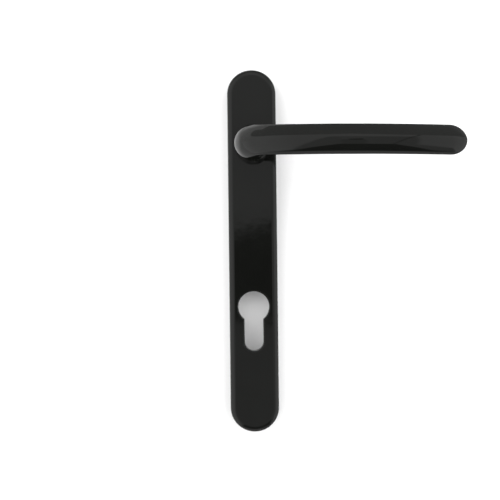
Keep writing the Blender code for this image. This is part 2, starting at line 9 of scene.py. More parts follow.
import bmesh
import bpy
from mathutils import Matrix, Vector


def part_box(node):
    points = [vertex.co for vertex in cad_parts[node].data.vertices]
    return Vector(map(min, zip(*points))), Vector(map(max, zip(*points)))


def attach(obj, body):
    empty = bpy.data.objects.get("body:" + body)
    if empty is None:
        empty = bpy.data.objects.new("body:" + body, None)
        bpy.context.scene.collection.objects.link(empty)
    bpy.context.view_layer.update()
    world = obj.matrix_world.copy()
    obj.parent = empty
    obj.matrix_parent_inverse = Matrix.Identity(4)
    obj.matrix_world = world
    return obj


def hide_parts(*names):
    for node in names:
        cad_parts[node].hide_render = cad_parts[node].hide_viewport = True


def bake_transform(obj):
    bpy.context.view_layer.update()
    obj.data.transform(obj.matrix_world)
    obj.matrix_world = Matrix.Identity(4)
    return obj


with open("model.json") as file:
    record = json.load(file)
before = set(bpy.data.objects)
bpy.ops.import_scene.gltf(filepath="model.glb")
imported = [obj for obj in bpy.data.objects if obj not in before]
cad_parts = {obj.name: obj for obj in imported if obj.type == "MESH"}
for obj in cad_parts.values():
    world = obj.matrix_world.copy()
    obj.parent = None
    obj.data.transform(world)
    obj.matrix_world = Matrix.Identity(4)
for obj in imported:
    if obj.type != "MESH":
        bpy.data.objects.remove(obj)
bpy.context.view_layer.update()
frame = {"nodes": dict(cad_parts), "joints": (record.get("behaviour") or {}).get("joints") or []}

MM = 0.001

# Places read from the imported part
PLATE_LOW, PLATE_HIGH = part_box("backplate")
HALF_WIDTH = PLATE_HIGH.x
HALF_LENGTH = PLATE_HIGH.z
PLATE_DEPTH = -PLATE_LOW.y
PIVOT = Vector(frame["joints"][0]["pos_m"])
SPINDLE_Z = PIVOT.z
SPINDLE_AXIS = Vector((0.0, 0.0, SPINDLE_Z))
JOURNAL_END = -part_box("lever")[1].y
POST_LOW, POST_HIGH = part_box("fixing_post_upper")
POST_Z = (POST_LOW.z + POST_HIGH.z) / 2
POST_R = POST_HIGH.x
COVER_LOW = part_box("cassette_cover")[0]
SCREW_LOW, SCREW_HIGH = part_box("cover_screw_2")

# Casting
WALL = 2.3 * MM
FRONT_WALL = 2.6 * MM
CAVITY_DEPTH = PLATE_DEPTH - FRONT_WALL
EDGE_WIDTH = 3.3 * MM
EDGE_DROP = 2.1 * MM
EDGE_STEPS = 26
OUTER_DRAFT = 0.1 * MM
REAR_CHAMFER = 0.15 * MM
CAVITY_LIP = 0.3 * MM
RIB = 1.6 * MM
RIB_DEPTH = 0.6 * MM
RIB_ROOT = 0.15 * MM
RIB_DRAFT = 0.2 * MM
RIB_TO_COVER = 3.0 * MM
LOW_WEB_Z = -70.0 * MM
BOSS_R = 5.7 * MM
BOSS_ROUNDING = 0.25 * MM
ROUNDING_MIDDLE = 0.08 * MM
PAD_R = 4.5 * MM
SCREW_BOSS_R = 2.6 * MM
COVER_GAP = 0.1 * MM
PILOT_R = 1.1 * MM
PILOT_ROOF = 0.5 * MM
POST_PLAY = 0.1 * MM
POST_HOLE_DEPTH = 8.35 * MM
NECK_HOLE_R = 8.0 * MM
FILLET = 0.5 * MM
FILLET_STEPS = 4

# Euro cylinder cut-out, 92 mm below the spindle
CYLINDER_Z = SPINDLE_Z - 92.0 * MM
HEAD_R = 8.75 * MM
SLOT_HALF = 5.3 * MM
APERTURE_DROP = 24.95 * MM
APERTURE_ROUNDING = 0.7 * MM
COLLAR_WALL = 1.6 * MM

# Lever stops in the casting, angles from straight up and positive towards the lever
TAB_HALF_ANGLE = math.radians(12.0)
PRESS_LIMIT = math.radians(45.0)
LIFT_LIMIT = math.radians(60.0)
STOP_CLEARANCE = math.radians(1.2)
STOP_WIDTH = math.radians(18.0)
STOP_INNER_R = 9.75 * MM
PRESS_STOP_OUTER_R = 13.7 * MM
LIFT_STOP_OUTER_R = 12.4 * MM
STOP_DEPTH = 3.4 * MM

# Lever centre line and section
NECK_START = 0.8 * MM
NECK_RISE = 16.0 * MM
BEND_R = 15.0 * MM
BEND_EXIT = math.radians(18.0)
BOW_APEX_X = 60.0 * MM
BOW_OUT_R = (BOW_APEX_X - BEND_R * (1 - math.sin(BEND_EXIT))) / math.sin(BEND_EXIT)
BOW_BACK_R = 178.0 * MM
LEVER_REACH = 116.8 * MM
NECK_HEADING = math.radians(85.0)
GRIP_HEADING = math.radians(30.0)
NECK_HALF_X = 9.85 * MM
NECK_HALF_Z = 10.5 * MM
KNUCKLE_DROP = 0.45 * MM
NECK_FLARE = 0.15 * MM
FLARE_HEIGHT = 2.6 * MM
KNUCKLE_TAPER = 0.085
GRIP_HALF_Z = 8.3 * MM
GRIP_FALL = math.radians(0.7)
FALL_START = 10.0 * MM
GRIP_LIFT = 0.08 * MM
TIP_ROUND = 9.6 * MM
TIP_THINNING = 0.35
GRIP_HALF_T = 6.2 * MM
TIP_HALF_T = 4.6 * MM
# Angle of the grip's front face at heights across it, in half heights: a soft ridge above its middle
FACE_TURN = ((-0.97, -44.0), (-0.818, -25.8), (-0.345, -10.0), (-0.054, -2.3), (0.128, 4.6),
             (0.28, 25.3), (0.97, 44.0))
FACE_STEPS = 14
CORNER_STEPS = 12
BACK_POWER = 2.6
BACK_STEPS = 90

# Journal
JOURNAL_R = 7.0 * MM
JOURNAL_ROOT = 3.0 * MM
JOURNAL_CHAMFER = 0.2 * MM
GROOVE_R = 6.45 * MM
GROOVE = (1.2 * MM, 0.4 * MM)
FLAT_HALF = 6.0 * MM
FLAT_START = 4.75 * MM
SOCKET_HALF = 4.05 * MM
SOCKET_DEPTH = 22.0 * MM

# Return spring
WIRE_R = 0.55 * MM
WIRE_SIDES = 18
WIRE_BEND = 1.3 * WIRE_R
COIL_R = 8.8 * MM
COIL_TURNS = 2
COIL_DEPTHS = (7.7 * MM, 5.3 * MM)
TANG_FRONT = 9.5 * MM
TANG_REAR = 3.8 * MM
TANG_HOLE_R = 0.95 * MM
TANG_HOLE_TOP = 5.0 * MM
TANG_HOLE_BOTTOM = 9.9 * MM

# Studio
CAMERA_RANGE = 940.0 * MM
CAMERA_SIDE = -1.74 * MM
CAMERA_HEIGHT = 0.5 * MM
CAMERA_LENS = 120.1
CAMERA_ROLL = math.radians(0.67)
TABLE_HALF = 0.8
TABLE_GAP = 0.6 * MM
TABLE_CLEAR = 20.0 * MM
KEY_PLACE = (-0.55, -1.1, 0.45)
KEY_SIZE = 0.9
KEY_POWER = 1.5

# Room mirrored by the gloss.  Azimuths and elevations are in degrees, as seen from the part, with
# azimuth 0 towards the camera and positive towards the lever's tip.  Levels are light strengths.
# Each thing has its ranges as (low, high, softness of the edges).
FRONT_LEVEL, SIDE_LEVEL = 0.70, 0.90
FRONT_SPAN = 13.0
SIDE_COMES = (20.0, 40.0)
LOW_SIDE_GAIN = 0.15
LOW_SIDE_COMES = (2.0, -2.0)
LOW_SIDE_AZIMUTH, LOW_SIDE_SOFT = 75.0, 12.0
CEILING_LEVELS = (0.41, 0.33)
CEILING_ELEVATIONS = (55.0, 90.0)
CEILING_EDGE, CEILING_SLOPE, CEILING_SOFT = 54.7, -0.45, 1.6
CEILING_TURN = 60.0
CEILING_COMES = (-96.0, -66.0)
WALL_LEVEL = 0.41
WALL_ELEVATIONS = (-60.0, 13.3, 1.2)
WALL_LEFT, WALL_LEFT_SLOPE, WALL_LEFT_SOFT = -14.2, 0.37, 1.2
WALL_RIGHT, WALL_RIGHT_SLOPE, WALL_RIGHT_SOFT = 29.5, 1.3, 1.5
SCREEN_LEVEL = 0.45
SCREEN_AZIMUTHS = (-6.0, 6.0, 2.0)
SCREEN_ELEVATIONS = (0.5, 9.0, 1.0)
STAND_LEVEL = 0.31
STAND_AZIMUTHS = (-5.3, 5.6, 0.8)
STAND_ELEVATIONS = (-30.0, -2.5, 0.15)
BENCH_LEVEL = 0.06
BENCH_EDGE, BENCH_SLOPE, BENCH_SOFT = -17.8, -1.08, 1.2
BENCH_AZIMUTH = 6.7
BENCH_HALF = 13.0
BENCH_STEP, BENCH_STEP_SLOPE = 13.2, -0.42
FLOOR_LEVEL = 0.66
FLOOR_EDGE, FLOOR_SOFT = -48.0, 1.5
POST_LEVEL = 0.15
POST_AZIMUTHS = (23.5, 24.5, 0.3)
POST_ELEVATIONS = (BENCH_EDGE, 40.0, 0.8)
POST_LEAN = 0.283
BOX_LEVEL = 0.03
BOX_AZIMUTHS = (-2.0, 3.7, 0.4)
BOX_BOTTOM, BOX_BOTTOM_SOFT = -2.5, 0.12
BOX_TOP, BOX_TOP_SOFT = 0.74, 0.3
BOX_LEAN = 0.28

# Soft light of the room: most from the sides, less along the camera's axis and from above or below
SIDE_LIGHT = 3.78
AXIS_LOSS = -3.25
UPRIGHT_LOSS, UPRIGHT_TILT = -3.7, 0.72
RIGHT_TILT = 0.05
LEAST_LIGHT = 0.03

# Table as the gloss mirrors it, with painted shade and painted light in its colour: its darkened
# level, then painted lighter patches and painted shade, and the x or z, in metres, over which each
# comes or goes
TABLE_SHADE_LEVEL = 0.44
LEFT_PAINTED_LIGHT, LEFT_COMES, LEFT_GOES, LEFT_REACH = 0.76, (-0.17, -0.07), (-0.03, 0.0), (0.012, 0.045)
GRIP_SHADE, GRIP_COMES, GRIP_GOES = 0.36, (0.008, 0.015), (0.05, 0.08)
TIP_SHADE, TIP_COMES = 0.20, (0.10, 0.16)
PAST_END = (0.102, 0.108)
END_PAINTED_LIGHT, END_COMES = 0.25, (-0.060, -0.030)
END_SHADE, END_SHADE_COMES = 0.50, (-0.002, 0.008)
END_RETURN, END_RETURN_COMES = 0.25, (0.030, 0.050)


# ---------------------------------------------------------------- mesh building

def mesh_piece(name, verts, faces):
    mesh = bpy.data.meshes.new(name)
    mesh.from_pydata([tuple(v) for v in verts], [], faces)
    work = bmesh.new()
    work.from_mesh(mesh)
    bmesh.ops.recalc_face_normals(work, faces=work.faces)
    work.to_mesh(mesh)
    work.free()
    obj = bpy.data.objects.new(name, mesh)
    bpy.context.scene.collection.objects.link(obj)
    return obj


def loft(name, rings):
    """Solid through a row of closed rings with equal point counts, flat at both ends."""
    count = len(rings[0])
    verts = [point for ring in rings for point in ring]
    faces = []
    for row in range(len(rings) - 1):
        a, b = row * count, (row + 1) * count
        for i in range(count):
            j = (i + 1) % count
            faces.append((a + i, a + j, b + j, b + i))
    faces.append(tuple(range(count)))
    faces.append(tuple(range(len(verts) - count, len(verts))))
    return mesh_piece(name, verts, faces)


def turned(name, stations, centre=(0.0, 0.0), segments=64):
    """Solid of revolution about Y through (radius, depth) stations."""
    rings = [[Vector((centre[0] + r * math.cos(2 * math.pi * i / segments), -d,
                      centre[1] + r * math.sin(2 * math.pi * i / segments)))
              for i in range(segments)] for r, d in stations]
    return loft(name, rings)


def block(name, x_range, depth_range, z_range, draft=0.0):
    """Bar between two depths whose sides lean in by the draft towards the second depth."""
    x0, x1 = x_range
    z0, z1 = z_range
    rings = []
    for depth, lean in zip(depth_range, (0.0, draft)):
        rings.append([Vector((x0 + lean, -depth, z0 + lean)), Vector((x1 - lean, -depth, z0 + lean)),
                      Vector((x1 - lean, -depth, z1 - lean)), Vector((x0 + lean, -depth, z1 - lean))])
    return loft(name, rings)


def combine(target, tools, operation):
    """Applies one exact Boolean of all the tools to the target, then removes the tools."""
    group = bpy.data.collections.new("tools")
    for tool in tools:
        bpy.context.scene.collection.objects.unlink(tool)
        group.objects.link(tool)
    bpy.context.scene.collection.children.link(group)
    work = target.modifiers.new("combine", 'BOOLEAN')
    work.operand_type = 'COLLECTION'
    work.collection = group
    work.operation = operation
    work.solver = 'EXACT'
    bpy.context.view_layer.update()
    graph = bpy.context.evaluated_depsgraph_get()
    result = bpy.data.meshes.new_from_object(target.evaluated_get(graph))
    target.modifiers.remove(work)
    target.data = result
    for tool in tools:
        bpy.data.objects.remove(tool, do_unlink=True)
    bpy.data.collections.remove(group)


def shade(obj, sharp_degrees=32.0):
    """Smooth shading with sharp edges, weighted so that large flat faces stay flat."""
    obj.data.name = obj.name
    obj.data.shade_smooth()
    obj.data.set_sharp_from_angle(angle=math.radians(sharp_degrees))
    weighted = obj.modifiers.new("flat faces", 'WEIGHTED_NORMAL')
    weighted.weight = 100
    weighted.keep_sharp = True
    return obj


# ---------------------------------------------------------------- backplate

def stadium(inset, depth, end_points=72):
    """Outline of the backplate, moved inwards by the inset, at one depth."""
    radius = HALF_WIDTH - inset
    straight = HALF_LENGTH - HALF_WIDTH
    points = []
    for side in (1, -1):
        for i in range(end_points + 1):
            angle = math.pi * i / end_points + (0.0 if side == 1 else math.pi)
            points.append(Vector((radius * math.cos(angle), -depth,
                                  side * straight + radius * math.sin(angle))))
    return points


def euro_ring(offset, depth, head_points=80, foot_points=40):
    """Euro cylinder outline, grown outwards by the offset, at one depth."""
    radius = HEAD_R + offset
    half = SLOT_HALF + offset
    foot_z = CYLINDER_Z - APERTURE_DROP + SLOT_HALF
    joint = math.asin(half / radius)
    start = -math.pi / 2 + joint
    sweep = 2 * math.pi - 2 * joint
    points = []
    for i in range(head_points + 1):
        angle = start + sweep * i / head_points
        points.append(Vector((radius * math.cos(angle), -depth,
                              CYLINDER_Z + radius * math.sin(angle))))
    for i in range(foot_points + 1):
        angle = math.pi + math.pi * i / foot_points
        points.append(Vector((half * math.cos(angle), -depth, foot_z + half * math.sin(angle))))
    return points


def quarter_turn(steps, first=1):
    """Angles from just above zero, or from zero, up to a right angle."""
    return [math.radians(90.0 * i / steps) for i in range(first, steps + 1)]


def arc(radius, start, end, steps=16):
    """(x, z) points of an arc about the spindle, angles from straight up towards +X."""
    return [(radius * math.sin(start + (end - start) * i / steps),
             radius * math.cos(start + (end - start) * i / steps)) for i in range(steps + 1)]


def stop_lug(start, end):
    """Stop for the cam's tab; the pressed lever's stop reaches further out than the lifted one's."""
    outer = PRESS_STOP_OUTER_R if start > 0 else LIFT_STOP_OUTER_R
    outline = arc(STOP_INNER_R, start, end) + arc(outer, end, start)
    return loft("stop", [[Vector((x, -depth, SPINDLE_Z + z)) for x, z in outline]
                         for depth in (CAVITY_DEPTH + MM, STOP_DEPTH)])


def fillet_stations(width):
    """(offset, depth) stations of a fillet from the cavity's floor up to a wall at the width."""
    stations = [(width + FILLET, CAVITY_DEPTH + MM), (width + FILLET, CAVITY_DEPTH)]
    for angle in quarter_turn(FILLET_STEPS):
        stations.append((width + FILLET * (1 - math.sin(angle)),
                         CAVITY_DEPTH - FILLET * (1 - math.cos(angle))))
    return stations


def boss(radius, top, centre):
    """Cast boss with a fillet at its root and a rounded top edge."""
    stations = fillet_stations(radius)
    stations += [(radius, top + BOSS_ROUNDING), (radius - ROUNDING_MIDDLE, top + ROUNDING_MIDDLE),
                 (radius - BOSS_ROUNDING, top)]
    return turned("boss", stations, centre)


def casting_features():
    """Ribs, bosses, collar, stops and seating pad inside the casting."""
    root = CAVITY_DEPTH + MM
    spine_top = COVER_LOW.z - RIB_TO_COVER
    collar = fillet_stations(COLLAR_WALL)
    collar += [(COLLAR_WALL, RIB_DEPTH + RIB_DRAFT), (COLLAR_WALL - RIB_DRAFT, RIB_DEPTH)]
    features = [loft("collar", [euro_ring(offset, depth) for offset, depth in collar])]
    half = RIB / 2 + RIB_ROOT
    for low, high in ((CYLINDER_Z + HEAD_R, spine_top),
                      (-POST_Z, CYLINDER_Z - APERTURE_DROP)):
        features.append(block("spine", (-half, half), (root, RIB_DEPTH), (low, high), RIB_DRAFT))
    inside = HALF_WIDTH - WALL / 2
    for z in (spine_top, 0.0, LOW_WEB_Z):
        features.append(block("web", (-inside, inside), (root, RIB_DEPTH), (z - half, z + half),
                              RIB_DRAFT))
    features.append(boss(PAD_R, 0.0, (0.0, 0.0)))
    for end in (1, -1):
        features.append(boss(BOSS_R, RIB_DEPTH, (0.0, end * POST_Z)))
    for x, z in screw_places():
        features.append(boss(SCREW_BOSS_R, COVER_GAP - COVER_LOW.y, (x, z)))
    edge = TAB_HALF_ANGLE + STOP_CLEARANCE
    features.append(stop_lug(PRESS_LIMIT + edge, PRESS_LIMIT + edge + STOP_WIDTH))
    features.append(stop_lug(-LIFT_LIMIT - edge, -LIFT_LIMIT - edge - STOP_WIDTH))
    return features


def screw_places():
    x = (SCREW_LOW.x + SCREW_HIGH.x) / 2
    rise = (SCREW_LOW.z + SCREW_HIGH.z) / 2 - SPINDLE_Z
    return [(sx * x, SPINDLE_Z + sz * rise) for sx in (1, -1) for sz in (1, -1)]


def casting_holes():
    """Cutters for the neck, posts, screws, spring tang and cylinder cut-out."""
    holes = [turned("neck", [(NECK_HOLE_R, PLATE_DEPTH + MM), (NECK_HOLE_R, 0.0)],
                    (0.0, SPINDLE_Z), 96)]
    for end in (1, -1):
        bore = POST_R + POST_PLAY
        holes.append(turned("post", [(bore, POST_HOLE_DEPTH), (bore, -MM)], (0.0, end * POST_Z)))
    for place in screw_places():
        holes.append(turned("pilot", [(PILOT_R, CAVITY_DEPTH - PILOT_ROOF), (PILOT_R, -MM)],
                            place, 32))
    holes.append(turned("tang", [(TANG_HOLE_R, TANG_HOLE_BOTTOM), (TANG_HOLE_R, TANG_HOLE_TOP)],
                        (0.0, SPINDLE_Z - COIL_R), 32))
    aperture = [euro_ring(0.0, -MM), euro_ring(0.0, PLATE_DEPTH - APERTURE_ROUNDING)]
    for angle in quarter_turn(8):
        aperture.append(euro_ring(APERTURE_ROUNDING * (1 - math.cos(angle)),
                                  PLATE_DEPTH - APERTURE_ROUNDING * (1 - math.sin(angle))))
    aperture.append(euro_ring(APERTURE_ROUNDING, PLATE_DEPTH + MM))
    holes.append(loft("aperture", aperture))
    return holes


def build_backplate():
    """Shell with a softly rounded front edge, hollow behind, with its cast features and holes."""
    rings = [stadium(REAR_CHAMFER, 0.0), stadium(0.0, REAR_CHAMFER)]
    for angle in quarter_turn(EDGE_STEPS, first=0):
        rings.append(stadium(OUTER_DRAFT + (EDGE_WIDTH - OUTER_DRAFT) * (1 - math.cos(angle)),
                             PLATE_DEPTH - EDGE_DROP * (1 - math.sin(angle))))
    plate = loft("backplate_casting", rings)
    lip = WALL - CAVITY_LIP
    cavity = [stadium(lip, -MM), stadium(lip, 0.0), stadium(WALL, CAVITY_LIP),
              stadium(WALL, CAVITY_DEPTH - 2 * FILLET)]
    for angle in quarter_turn(6):
        cavity.append(stadium(WALL + 2 * FILLET * (1 - math.cos(angle)),
                              CAVITY_DEPTH - 2 * FILLET * (1 - math.sin(angle))))
    combine(plate, [loft("cavity", cavity)], 'DIFFERENCE')
    combine(plate, casting_features(), 'UNION')
    combine(plate, casting_holes(), 'DIFFERENCE')
    return shade(plate)


# ---------------------------------------------------------------- lever

def smooth_step(low, high, value):
    t = min(max((value - low) / (high - low), 0.0), 1.0)
    return t * t * (3 - 2 * t)


def lever_path():
    """Stations along the lever's centre line as (x, height above the plate, heading)."""
    neck_steps, bend_steps, out_steps, back_steps, tip_steps = 14, 40, 26, 32, 30
    path = [(0.0, NECK_START + (NECK_RISE - NECK_START) * i / neck_steps, math.pi / 2)
            for i in range(neck_steps)]
    for i in range(bend_steps + 1):
        heading = math.pi / 2 + (BEND_EXIT - math.pi / 2) * i / bend_steps
        path.append((BEND_R * (1 - math.sin(heading)), NECK_RISE + BEND_R * math.cos(heading),
                     heading))
    exit_x, exit_h, _ = path[-1]
    for i in range(1, out_steps + 1):
        heading = BEND_EXIT * (1 - i / out_steps)
        path.append((exit_x + BOW_OUT_R * (math.sin(BEND_EXIT) - math.sin(heading)),
                     exit_h + BOW_OUT_R * (math.cos(heading) - math.cos(BEND_EXIT)), heading))
    apex_x, apex_h, _ = path[-1]
    tip_heading = math.asin((LEVER_REACH - apex_x) / BOW_BACK_R)
    grip_end = tip_heading - TIP_ROUND / BOW_BACK_R
    headings = [grip_end * i / back_steps for i in range(1, back_steps + 1)]
    for i in range(1, tip_steps + 1):
        reach = math.sin(math.radians(89.0) * i / tip_steps)
        headings.append(grip_end + (tip_heading - grip_end) * reach)
    for heading in headings:
        path.append((apex_x + BOW_BACK_R * math.sin(heading),
                     apex_h - BOW_BACK_R * (1 - math.cos(heading)), -heading))
    return path, tip_heading, grip_end


def lever_face():
    """(z, drop) points of the front face across its height, in half heights of the section.

    The face turns through FACE_TURN and ends in a tight corner at each edge.
    """
    low_edge, low_angle = FACE_TURN[0]
    top_edge, top_angle = FACE_TURN[-1]
    points, drop = [(low_edge, 0.0)], 0.0
    for (z0, angle0), (z1, angle1) in zip(FACE_TURN, FACE_TURN[1:]):
        for i in range(FACE_STEPS):
            angle = math.radians(angle0 + (angle1 - angle0) * (i + 0.5) / FACE_STEPS)
            drop += math.tan(angle) * (z1 - z0) / FACE_STEPS
            points.append((z0 + (z1 - z0) * (i + 1) / FACE_STEPS, drop))
    corners = []
    for edge, angle, start in ((1 + low_edge, -low_angle, 0.0), (1 - top_edge, top_angle, drop)):
        radius = edge / (1 - math.sin(math.radians(angle)))
        turns = [math.radians(angle + (90.0 - angle) * i / CORNER_STEPS)
                 for i in range(1, CORNER_STEPS + 1)]
        corners.append([(1 - radius * (1 - math.sin(turn)),
                         start + radius * (math.cos(math.radians(angle)) - math.cos(turn)))
                        for turn in turns])
    low, top = corners
    points = [(-z, drop) for z, drop in reversed(low)] + points + top
    crown = min(drop for _, drop in points)
    return [(z, drop - crown) for z, drop in points]


def even_points(outline, count):
    """Points evenly spaced by length round a closed outline."""
    lengths = [0.0]
    for i, point in enumerate(outline):
        lengths.append(lengths[-1] + (outline[(i + 1) % len(outline)] - point).length)
    index, picked = 0, []
    for k in range(count):
        target = lengths[-1] * k / count
        while lengths[index + 1] < target:
            index += 1
        share = (target - lengths[index]) / (lengths[index + 1] - lengths[index])
        picked.append(outline[index].lerp(outline[(index + 1) % len(outline)], share))
    return picked


def lever_section(x, height, heading, tip_heading, grip_end, points=144):
    """Closed ring of the lever's section at one station of its centre line.

    The neck's section is an ellipse.  The grip's has a crowned face, crisp edges and a round back.
    """
    bar = smooth_step(NECK_HEADING, GRIP_HEADING, heading)
    taper = smooth_step(BOW_APEX_X, LEVER_REACH, x)
    half_t = GRIP_HALF_T + (TIP_HALF_T - GRIP_HALF_T) * taper
    half_z = GRIP_HALF_Z
    if -heading > grip_end:
        reach = (-heading - grip_end) / (tip_heading - grip_end)
        round_end = math.sqrt(max(1 - reach * reach, 0.0))
        half_z *= round_end
        half_t *= round_end ** TIP_THINNING
    grip = [(half_t - drop * half_z, z * half_z) for z, drop in lever_face()]
    low_t, top_t = grip[0][0], grip[-1][0]
    for i in range(1, BACK_STEPS):
        angle = math.pi * i / BACK_STEPS
        across = math.copysign(abs(math.cos(angle)) ** (2 / BACK_POWER), math.cos(angle))
        edge_t = low_t + (top_t - low_t) * (across + 1) / 2
        grip.append((edge_t - (edge_t + half_t) * math.sin(angle) ** (2 / BACK_POWER),
                     across * half_z))
    flare = NECK_FLARE * (1 - smooth_step(0.0, FLARE_HEIGHT, height))
    fall = GRIP_LIFT - (x - FALL_START) * math.tan(GRIP_FALL)
    fall = fall * bar - KNUCKLE_DROP * (1 - bar)
    front = Vector((-math.sin(heading), -math.cos(heading), 0.0))
    centre = Vector((x, -(PLATE_DEPTH + height), SPINDLE_Z + fall))
    outline = []
    for t, z in grip:
        angle = math.atan2(z, t)
        radius = 1 / math.hypot(math.cos(angle) / (NECK_HALF_X + flare),
                                math.sin(angle) / (NECK_HALF_Z + flare))
        neck_t, neck_z = radius * math.cos(angle), radius * math.sin(angle)
        neck_z *= 1 - KNUCKLE_TAPER * (1 - bar) * neck_t / NECK_HALF_X
        outline.append(centre + front * (neck_t + (t - neck_t) * bar)
                       + Vector((0.0, 0.0, neck_z + (z - neck_z) * bar)))
    return even_points(outline, points)


def build_lever():
    """Lever with its journal, circlip groove, cam flats and square socket."""
    path, tip_heading, grip_end = lever_path()
    lever = loft("lever_casting",
                 [lever_section(*station, tip_heading, grip_end) for station in path])
    axis = (0.0, SPINDLE_Z)
    journal = [(JOURNAL_R, PLATE_DEPTH + JOURNAL_ROOT), (JOURNAL_R, GROOVE[0]),
               (GROOVE_R, GROOVE[0]), (GROOVE_R, GROOVE[1]), (JOURNAL_R, GROOVE[1]),
               (JOURNAL_R - JOURNAL_CHAMFER, JOURNAL_END)]
    combine(lever, [turned("journal", journal, axis, 128)], 'UNION')
    cutters = [block("socket", (-SOCKET_HALF, SOCKET_HALF), (SOCKET_DEPTH, -MM),
                     (SPINDLE_Z - SOCKET_HALF, SPINDLE_Z + SOCKET_HALF))]
    far = JOURNAL_R + MM
    for low, high in ((FLAT_HALF, far), (-far, -FLAT_HALF)):
        cutters.append(block("flat", (-far, far), (FLAT_START, -MM),
                             (SPINDLE_Z + low, SPINDLE_Z + high)))
    combine(lever, cutters, 'DIFFERENCE')
    return shade(lever)


# ---------------------------------------------------------------- return spring

def build_spring():
    """Two-turn spring with its front tang in the casting and its rear tang in the cam."""
    front, rear = COIL_DEPTHS
    lead = WIRE_BEND / COIL_R
    start = -math.pi / 2
    at_tang = Vector((0.0, 0.0, -COIL_R))
    points = [at_tang + Vector((0.0, -depth, 0.0)) for depth in (TANG_FRONT, front + WIRE_BEND)]
    steps = 96 * COIL_TURNS
    for i in range(steps + 1):
        t = i / steps
        angle = start + lead + (2 * math.pi * COIL_TURNS - 2 * lead) * t
        points.append(Vector((COIL_R * math.cos(angle), -(front + (rear - front) * t),
                              COIL_R * math.sin(angle))))
    points += [at_tang + Vector((0.0, -depth, 0.0)) for depth in (rear - WIRE_BEND, TANG_REAR)]
    rings = []
    for i, point in enumerate(points):
        along = (points[min(i + 1, len(points) - 1)] - points[max(i - 1, 0)]).normalized()
        outward = Vector((point.x, 0.0, point.z)).normalized()
        outward = (outward - along * outward.dot(along)).normalized()
        across = along.cross(outward)
        turns = [2 * math.pi * k / WIRE_SIDES for k in range(WIRE_SIDES)]
        rings.append([SPINDLE_AXIS + point
                      + WIRE_R * (outward * math.cos(turn) + across * math.sin(turn))
                      for turn in turns])
    return shade(loft("return_spring_wire", rings), 60.0)


# ---------------------------------------------------------------- materials

class Nodes:
    """Short calls for building one node tree."""

    def __init__(self, tree):
        self.tree = tree

    def add(self, kind, **inputs):
        node = self.tree.nodes.new(kind)
        for key, value in inputs.items():
            name = key.replace("_", " ")
            if isinstance(value, bpy.types.NodeSocket):
                self.tree.links.new(value, node.inputs[name])
            else:
                node.inputs[name].default_value = value
        return node

    def math(self, operation, a, b=None):
        node = self.tree.nodes.new("ShaderNodeMath")
        node.operation = operation
        for socket, value in zip(node.inputs, (a, b)):
            if value is None:
                continue
            if isinstance(value, bpy.types.NodeSocket):
                self.tree.links.new(value, socket)
            else:
                socket.default_value = value
        return node.outputs[0]

    def product(self, a, b):
        return self.math('MULTIPLY', a, b)

    def difference(self, a, b):
        return self.math('SUBTRACT', a, b)

    def size(self, value):
        return self.math('ABSOLUTE', value)

    def inverse(self, factor):
        """1 where the factor is 0, and 0 where it is 1."""
        return self.difference(1.0, factor)

    def line(self, value, slope, offset):
        return self.math('ADD', self.product(value, slope), offset)

    def above(self, value, edge, soft):
        """1 where the value is above the edge, which may itself be a socket."""
        return self.remap(self.difference(value, edge), -soft, soft, 0.0, 1.0, True)

    def between(self, value, low, high, soft):
        return self.product(self.above(value, low, soft), self.inverse(self.above(value, high, soft)))

    def over(self, base, factor, level):
        """The base, with the level laid over it by the factor."""
        return self.remap(factor, 0.0, 1.0, base, level)

    def ramp(self, value, low, high, to_low, to_high):
        return self.remap(value, low, high, to_low, to_high, True)

    def remap(self, value, low, high, to_low, to_high, smooth=False):
        node = self.tree.nodes.new("ShaderNodeMapRange")
        node.interpolation_type = 'SMOOTHSTEP' if smooth else 'LINEAR'
        self.tree.links.new(value, node.inputs["Value"])
        for name, number in (("From Min", low), ("From Max", high), ("To Min", to_low),
                             ("To Max", to_high)):
            if isinstance(number, bpy.types.NodeSocket):
                self.tree.links.new(number, node.inputs[name])
            else:
                node.inputs[name].default_value = number
        return node.outputs["Result"]

    def noise(self, scale, detail=2.0, roughness=0.5, stretch=None):
        place = self.tree.nodes.new("ShaderNodeTexCoord").outputs["Object"]
        if stretch:
            mapping = self.add("ShaderNodeMapping", Vector=place)
            mapping.inputs["Scale"].default_value = stretch
            place = mapping.outputs["Vector"]
        node = self.add("ShaderNodeTexNoise", Vector=place, Scale=scale, Detail=detail,
                        Roughness=roughness)
        return node.outputs["Fac"]

    def blend(self, factor, low, high):
        """Colour between two colours by a factor."""
        node = self.tree.nodes.new("ShaderNodeMix")
        node.data_type = 'RGBA'
        self.tree.links.new(factor, node.inputs[0])
        for socket, colour in ((node.inputs[6], low), (node.inputs[7], high)):
            if isinstance(colour, bpy.types.NodeSocket):
                self.tree.links.new(colour, socket)
            else:
                socket.default_value = (*colour, 1.0)
        return node.outputs[2]

    def bump(self, height, distance, under=None):
        node = self.add("ShaderNodeBump", Height=height, Distance=distance)
        if under is not None:
            self.tree.links.new(under, node.inputs["Normal"])
        return node.outputs["Normal"]


def surface(name, metallic=0.0):
    """New material with its Principled shader and a node builder for it."""
    mat = bpy.data.materials.new(name)
    mat.use_nodes = True
    shader = mat.node_tree.nodes["Principled BSDF"]
    shader.inputs["Metallic"].default_value = metallic
    return mat, shader, Nodes(mat.node_tree)


def connect(nodes, shader, colour, roughness, normal):
    for name, socket in (("Base Color", colour), ("Roughness", roughness), ("Normal", normal)):
        nodes.tree.links.new(socket, shader.inputs[name])


